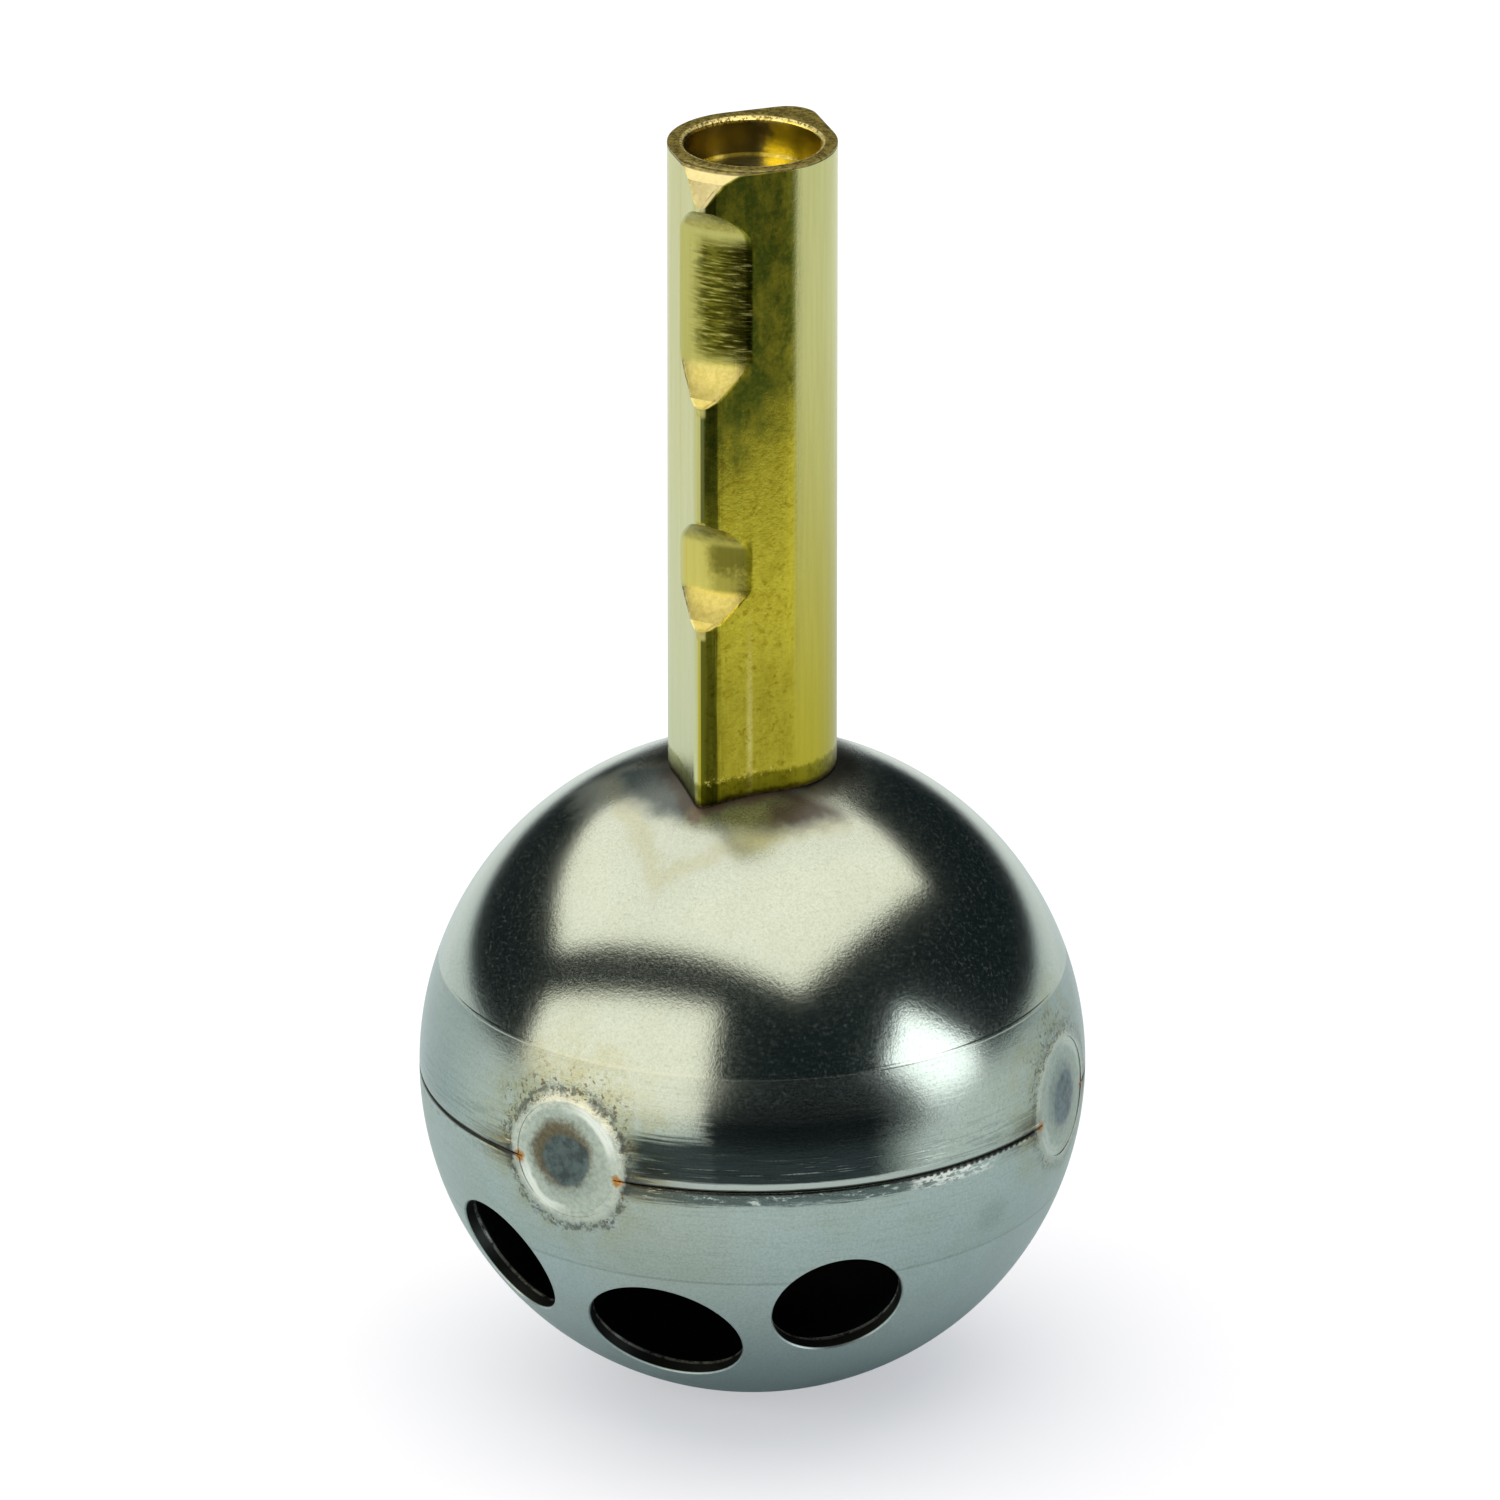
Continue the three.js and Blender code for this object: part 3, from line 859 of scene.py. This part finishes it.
def brassFinish():
    finish, place = newFinish("brass")
    x, y, z = axes(place)
    gold, pale = brassLook["gold"], brassLook["pale"]
    drawn = place.stretch(5.0, 5.0, 0.16).grain(1.4, 4, 0.6)      # lines of the drawn bar
    grain = place.grain(5.2, 3, 0.7)
    fine = place.grain(8.0, 2, 0.6)
    cloud = place.grain(0.7, 4, 0.6)
    right = (x - y) * math.sqrt(0.5)        # 3.2 on the flat to the right of the ridge
    left = (x + y) * -math.sqrt(0.5)        # 3.2 on the flat to its left
    rightFlat = right.rise(3.10, 3.17)
    leftFlat = left.rise(3.08, 3.16)
    ring = fromAxis(x, y)
    floorArea = ring.rise(3.47, 3.40) * (y * -1.0).rise(2.95, 3.05)
    # painted light: the round sides towards the top and the left flat take the pale brass of a lit
    # face, less so on the notch floors
    paintedPaleLight = z.rise(12.0, 35.0) * (1 - rightFlat) * (1 - leftFlat) * 0.92 + leftFlat * 0.85
    paintedPaleLight = paintedPaleLight * (1 - floorArea * 0.45)
    shortFloor = floorArea * z.rise(22.9, 22.4)
    colour = paintedPaleLight.over(grey(1, *gold), grey(1, *pale))
    colour = ((1 - paintedPaleLight) * shortFloor).over(colour, (0.60, 0.53, 0.14, 1))
    # painted light: the left flat is paler still towards its foot
    colour = (leftFlat * (0.1 + z.rise(30, 13) * 0.6)).over(colour, (0.57, 0.59, 0.36, 1))
    colour = (drawn.rise(0.35, 0.62) * 0.5).tinted(colour, (0.86, 0.86, 0.82, 1))
    colour = (cloud.rise(0.42, 0.68) * 0.3 * rightFlat).tinted(colour, (0.80, 0.76, 0.6, 1))
    # dark speckled tarnish high on the flat to the right of the ridge, partly painted shade
    # standing in for a dark reflection; below it the flat is painted a brighter gold as painted
    # light
    alongFlat = (x + y) * math.sqrt(0.5)    # -3.2 at the sharp corner, 0 where the flat ends
    high = (z + (cloud - 0.5) * 6.0 - alongFlat * 0.8).rise(25.3, 29.3)
    speck = grain.rise(0.36, 0.64)
    # painted light: the middle of the right flat is a brighter gold
    colour = (rightFlat * z.rise(15.5, 20.5) * (1 - high)).over(colour, grey(1.42, *gold))
    stainUp = place.shift(5, 5, 0).stretch(1, 1, 0.45).grain(1.6, 4, 0.65).rise(0.36, 0.60)
    colour = (rightFlat * high * (0.25 + speck * 0.3 + stainUp * 0.5)).tinted(
        colour, (0.22, 0.34, 0.44, 1))
    freckle = place.shift(4, 1, 6).grain(3.0, 3, 0.6).rise(0.58, 0.66)
    colour = (freckle * rightFlat * (0.6 - high * 0.35)).tinted(colour, (0.62, 0.52, 0.26, 1))
    mottle = place.shift(2, 9, 1).stretch(1, 1, 0.6).grain(2.4, 4, 0.7).rise(0.42, 0.62)
    colour = (mottle * rightFlat * (1 - high) * 0.5).tinted(colour, (0.74, 0.70, 0.45, 1))
    pitting = place.shift(7, 3, 7).grain(6.5, 3, 0.7).rise(0.56, 0.66)
    colour = (pitting * rightFlat * (1 - high) * 0.45).tinted(colour, (0.56, 0.50, 0.30, 1))
    halo = place.awayFrom(stem["halo"]).line(0.8, 0.03, 0.07) * cloud.rise(0.4, 0.5)
    colour = (halo * 0.45).tinted(colour, (0.62, 0.48, 0.2, 1))
    # painted shade in the scratched strip beside the ridge, standing in for a dark reflection, with
    # darker scratches fading out beyond it
    scratches = place.stretch(7.0, 7.0, 0.12).grain(1.2, 3, 0.6)
    ridgeShadeStrip = (alongFlat + (scratches - 0.5) * 0.5).rise(-2.34, -2.48) * right.rise(3.035, 3.06)
    fade = (alongFlat + (scratches - 0.5) * 0.9).rise(-1.9, -2.3) * rightFlat
    colour = (ridgeShadeStrip * 0.90).tinted(colour, (0.15, 0.18, 0.16, 1))
    colour = (fade * scratches.rise(0.42, 0.55) * 0.4).tinted(colour, (0.4, 0.42, 0.3, 1))
    # burnt band round the coped foot, bright specks along its upper edge
    onBall = place.awayFrom((0, 0, 0)) - ball["radius"] / mm
    footEdge = onBall + (drawn - 0.5) * 0.4 + (grain - 0.5) * 0.3
    foot = footEdge.rise(0.98, 0.80)
    blotch = place.shift(3, 3, 3).grain(2.2, 4, 0.65)
    colour = (foot * 0.85).tinted(colour, (0.44, 0.46, 0.20, 1))
    colour = (foot * blotch.rise(0.50, 0.62) * 0.5).tinted(colour, (0.40, 0.42, 0.25, 1))
    colour = ((onBall + (blotch - 0.5) * 0.5).rise(0.34, 0.14) * 0.85).tinted(
        colour, (0.20, 0.15, 0.07, 1))
    sparkle = footEdge.line(1.0, 0.05, 0.13) * grain.rise(0.50, 0.62) * rightFlat
    colour = (sparkle * 0.6).over(colour, (0.66, 0.56, 0.12, 1))
    roughness = brassLook["roughness"] + (grain - 0.5) * 0.14
    roughness = roughness + rightFlat * high * 0.06 + foot * 0.08
    # round floors of the notches, with the cutter's chatter on the long one; both floors are
    # painted darker towards the right as painted shade
    longNotch = floorArea * z.rise(29.5, 30.4) * z.rise(34.9, 34.1)
    shortNotch = floorArea * z.rise(20.3, 20.6) * z.rise(22.8, 22.2)
    chatter = place.shift(1, 1, 1).stretch(0.8, 0.8, 6.8).grain(1.5, 2, 0.5)
    patch = place.shift(6, 0, 3).stretch(1.0, 1, 2.2).grain(1.4, 3, 0.6).rise(0.32, 0.50)
    strong = x.rise(-1.2, -0.2)
    marks = longNotch * strong * patch
    # painted shade: the floors darken towards the right
    colour = (longNotch * x.rise(-0.9, -0.1) * 0.6).tinted(colour, (0.45, 0.45, 0.18, 1))
    soft = x + (cloud - 0.5) * 0.9 + (grain - 0.5) * 0.5
    colour = (longNotch * soft.rise(-1.0, -0.1) * 0.9).tinted(colour, (0.36, 0.36, 0.12, 1))
    colour = (longNotch * soft.rise(0.2, 0.9) * 0.85).tinted(colour, (0.42, 0.42, 0.60, 1))
    colour = (marks * chatter.rise(0.47, 0.57) * 0.75).tinted(colour, (0.20, 0.21, 0.12, 1))
    colour = (marks * chatter.rise(0.44, 0.36) * 0.5).over(colour, (0.50, 0.46, 0.15, 1))
    colour = (shortNotch * soft.rise(-0.3, 0.3) * 0.75).tinted(colour, (0.50, 0.50, 0.30, 1))
    pitted = soft.rise(-0.2, 0.5) * (z + (grain - 0.5) + (blotch - 0.5) * 1.4).rise(20.9, 21.6)
    colour = (shortNotch * pitted * 0.8).tinted(colour, (0.36, 0.37, 0.26, 1))
    # bright cut ends of the notches and of the ridge's bevel
    cut = (y * -1.0).rise(2.9, 3.0) * (right.rise(3.17, 3.13) * left.rise(3.17, 3.13))
    cut = cut * (1 - floorArea)
    longTop = z.rise(34.5, 34.7) * z.rise(36.0, 35.9)
    shortTop = z.rise(21.9, 22.1) * z.rise(23.6, 23.5)
    topEnds = cut * (longTop + shortTop)
    colour = (topEnds * 0.85).over(colour, grain.rise(0.3, 0.7).over((0.30, 0.25, 0.045, 1),
                                                                     (0.46, 0.40, 0.09, 1)))
    longFoot = z.rise(30.0, 29.8) * z.rise(27.7, 27.9)
    shortFoot = z.rise(20.7, 20.5) * z.rise(18.7, 18.9)
    shine = cut * (longFoot + shortFoot)
    colour = (shine * 0.85).over(colour, grain.rise(0.3, 0.7).over((0.40, 0.36, 0.10, 1),
                                                                   (0.54, 0.49, 0.18, 1)))
    bevel = cut * z.rise(35.95, 36.1)
    colour = (bevel * 0.85).over(colour, grain.rise(0.3, 0.7).over((0.52, 0.48, 0.26, 1),
                                                                   (0.60, 0.56, 0.31, 1)))
    roughness = roughness + (shine + bevel) * 0.08
    # bore: painted shade on one side, painted light on the other, and a painted bright reflection
    # on its floor
    bore = ring.rise(2.66, 2.60) * z.rise(35.7, 35.8)
    boreLitSide = (x * 0.89 + y * 0.45 + (cloud - 0.5) * 2.0).rise(0.1, 0.8)
    boreLightAndShade = boreLitSide.over((0.14, 0.115, 0.06, 1), (0.80, 0.64, 0.03, 1))
    boreLightAndShade = z.rise(36.02, 35.95).over(boreLightAndShade, cloud.rise(0.4, 0.6).over(
        (0.72, 0.64, 0.20, 1), (0.95, 0.88, 0.45, 1)))
    colour = (bore * 0.95).over(colour, boreLightAndShade)
    # the rim round the bore is worn round
    rim = z.rise(37.3, 37.36)
    across = (ring - 2.93).atMost(0.32)
    height = (drawn * 0.35 * (1 - shine) + grain * 0.5 + marks * chatter * -1.2 + ridgeShadeStrip * -0.8
              + rim * across * across * -34.0)
    rimTone = grain.rise(0.36, 0.62).over((0.10, 0.085, 0.02, 1), (0.27, 0.23, 0.06, 1))
    # painted highlight: a bright line on the chamfer round the bore's edge, just below the rim
    inner = (ring + (fine - 0.5) * 0.12).rise(2.76, 2.71)
    inner = inner * z.rise(37.15, 37.25) * fine.rise(0.42, 0.54)
    colour = rim.over(colour, rimTone)
    colour = (inner * 0.9).over(colour, (0.80, 0.72, 0.30, 1))
    bare = 1 - rim * 0.6
    metalOut(finish, colour, roughness, height, brassLook["bumpDepth"], bare)
    return finish


def filmFinish():
    finish, place = newFinish("braze")
    grain = place.grain(5.0, 3, 0.6)
    colour = grain.rise(0.35, 0.65).over((0.035, 0.028, 0.016, 1), (0.12, 0.09, 0.035, 1))
    metalOut(finish, colour, 0.5 + grain * 0.2, grain, 0.01 * mm)
    return finish


def insideFinish():
    finish, place = newFinish("steelInside")
    grain = place.grain(4.0, 3, 0.6)
    colour = grain.rise(0.3, 0.7).over((0.10, 0.11, 0.105, 1), (0.20, 0.22, 0.21, 1))
    metalOut(finish, colour, 0.3 + grain * 0.2, grain, 0.01 * mm)
    return finish


upperSteel = steelFinish("upperSteel", True)
lowerSteel = steelFinish("lowerSteel", False)
weldSteel = steelFinish("weldSteel", True)
coat(upperShell, upperSteel)
coat(lowerShell, lowerSteel)
for nugget in nuggets:
    coat(nugget, weldSteel)
coat(stemPiece, brassFinish())
coat(film, filmFinish())
coat(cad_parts["seam_ring"], insideFinish())
print("finishes made")


# ---- studio ----

studio = {
    "floorSize": 6.0,
    "floorColour": (0.46, 0.50, 0.58, 1),
    "floorGlow": (0.46, 0.46, 0.47, 1),     # fills the shadow under the ball
    "skyDark": (0.010, 0.018, 0.020, 1),
    "skyPale": (0.30, 0.30, 0.30, 1),
    "backdrop": (1.1, 1.1, 1.1, 1),
    "warm": (1.0, 0.88, 0.72),
    "neutral": (1.0, 0.97, 0.95),
    "panelReach": 0.9,
    "panelRadiance": 1.95,
    "sideRadiance": 3.0,
    "blackCard": (0.02, 0.026, 0.026, 1),
    "sheetNear": (0.50, 0.62, 0.71, 1),     # the sheet that reflections see in place of the floor, with a painted shadow near the ball
    "sheetFar": (0.70, 0.80, 0.88, 1),
}


def towards(right, away, up):   # from the camera's own right and away to the part's frame
    turn = math.radians(camera["azimuth"])
    return Vector((right * math.cos(turn) - away * math.sin(turn),
                   right * math.sin(turn) + away * math.cos(turn), up))


def softbox(name, centre, across, up, radiance, tint):
    # across and up are the panel's sides, as vectors; it shines towards the ball
    data = bpy.data.lights.new(name, "AREA")
    data.shape = "RECTANGLE"
    data.size = across.length
    data.size_y = up.length
    data.color = tint
    data.energy = radiance * math.pi * across.length * up.length
    panel = bpy.data.objects.new(name, data)
    bpy.context.scene.collection.objects.link(panel)
    side = across.normalized()
    normal = side.cross(up).normalized()
    if normal.dot(centre) < 0:
        side = -side
        normal = -normal
    rise = normal.cross(side)
    turn = Matrix((side, rise, normal)).transposed()
    panel.matrix_world = Matrix.Translation(centre) @ turn.to_4x4()
    panel.visible_camera = False
    return panel


def makeFloor():
    bpy.ops.mesh.primitive_plane_add(size=studio["floorSize"], location=(0, 0, -12.7 * mm))
    floor = newest("floor")
    settle(floor)
    finish = bpy.data.materials.new("floor")
    finish.use_nodes = True
    shader = finish.node_tree.nodes["Principled BSDF"]
    shader.inputs["Base Color"].default_value = studio["floorColour"]
    shader.inputs["Emission Color"].default_value = studio["floorGlow"]
    shader.inputs["Emission Strength"].default_value = 1.0
    shader.inputs["Roughness"].default_value = 0.9
    shader.inputs["Specular IOR Level"].default_value = 0.1
    coat(floor, finish)


def reflected(name, corners, height):
    # a flat sheet on the floor that only reflections see
    bpy.ops.mesh.primitive_plane_add(size=1, location=(0, 0, 0))
    sheet = newest(name)
    for index, corner in zip(sheet.data.polygons[0].vertices, corners):
        sheet.data.vertices[index].co = corner + Vector((0, 0, height))
    sheet.visible_camera = False
    sheet.visible_diffuse = False
    sheet.visible_shadow = False
    return sheet


def sheetFinish(name, near, far):
    finish, place = newFinish(name)
    # painted shadow: the sheet is darker near a point just behind the ball
    shade = towards(0.008, 0.034, 0) / mm
    distance = place.stretch(1, 1, 0).awayFrom(tuple(shade))
    colour = distance.rise(22, 80).over(near, far)
    tree = finish.node_tree
    shader = tree.nodes["Principled BSDF"]
    shader.inputs["Roughness"].default_value = 0.9
    shader.inputs["Specular IOR Level"].default_value = 0.1
    tree.links.new(colour.socket, shader.inputs["Base Color"])
    return finish


def makeCards():
    wide = 0.9
    pale = reflected("paleSheet", [towards(-wide, -wide, 0), towards(wide, -wide, 0),
                                   towards(wide, wide, 0), towards(-wide, wide, 0)], -12.6 * mm)
    coat(pale, sheetFinish("paleSheet", studio["sheetNear"], studio["sheetFar"]))
    black = reflected("blackCard", [towards(-0.045, -0.118, 0), towards(-0.20, -0.60, 0),
                                    towards(0.45, -0.30, 0), towards(0.118, -0.054, 0)], -12.4 * mm)
    coat(black, sheetFinish("blackCard", studio["blackCard"], studio["blackCard"]))


def makeStudio():
    makeFloor()
    makeCards()
    reach, radiance = studio["panelReach"], studio["panelRadiance"]
    softbox("overheadPanel", Vector((-0.417, 0.158, 1)) * reach, Vector((2.35, 0, 0)) * reach,
            Vector((0, 1.65, 0)) * reach, radiance, studio["warm"])
    softbox("frontPanel", Vector((-0.885, -1.083, 0.42)) * reach,
            Vector((-2.184, -0.208, 0)) * reach, Vector((0, 0, 0.84)) * reach,
            radiance, studio["warm"])
    softbox("sidePanel", outward(94.5, 9), (outward(108, -5) - outward(81, 22)) * 0.95,
            (outward(100, 20) - outward(89, 0)) * 0.9, studio["sideRadiance"], studio["neutral"])

    world = bpy.data.worlds.new("world")
    bpy.context.scene.world = world
    world.use_nodes = True
    nodes, links = world.node_tree.nodes, world.node_tree.links
    start = Shade(world.node_tree)
    glossy = start.node("ShaderNodeLightPath", {}, {}, "Is Glossy Ray")
    seen = start.node("ShaderNodeLightPath", {}, {}, "Is Camera Ray")
    sky = glossy.over(studio["skyPale"], studio["skyDark"])
    sky = seen.over(sky, studio["backdrop"])
    links.new(sky.socket, nodes["Background"].inputs["Color"])
    bpy.context.scene.view_settings.view_transform = "Standard"


makeStudio()
print("studio set")
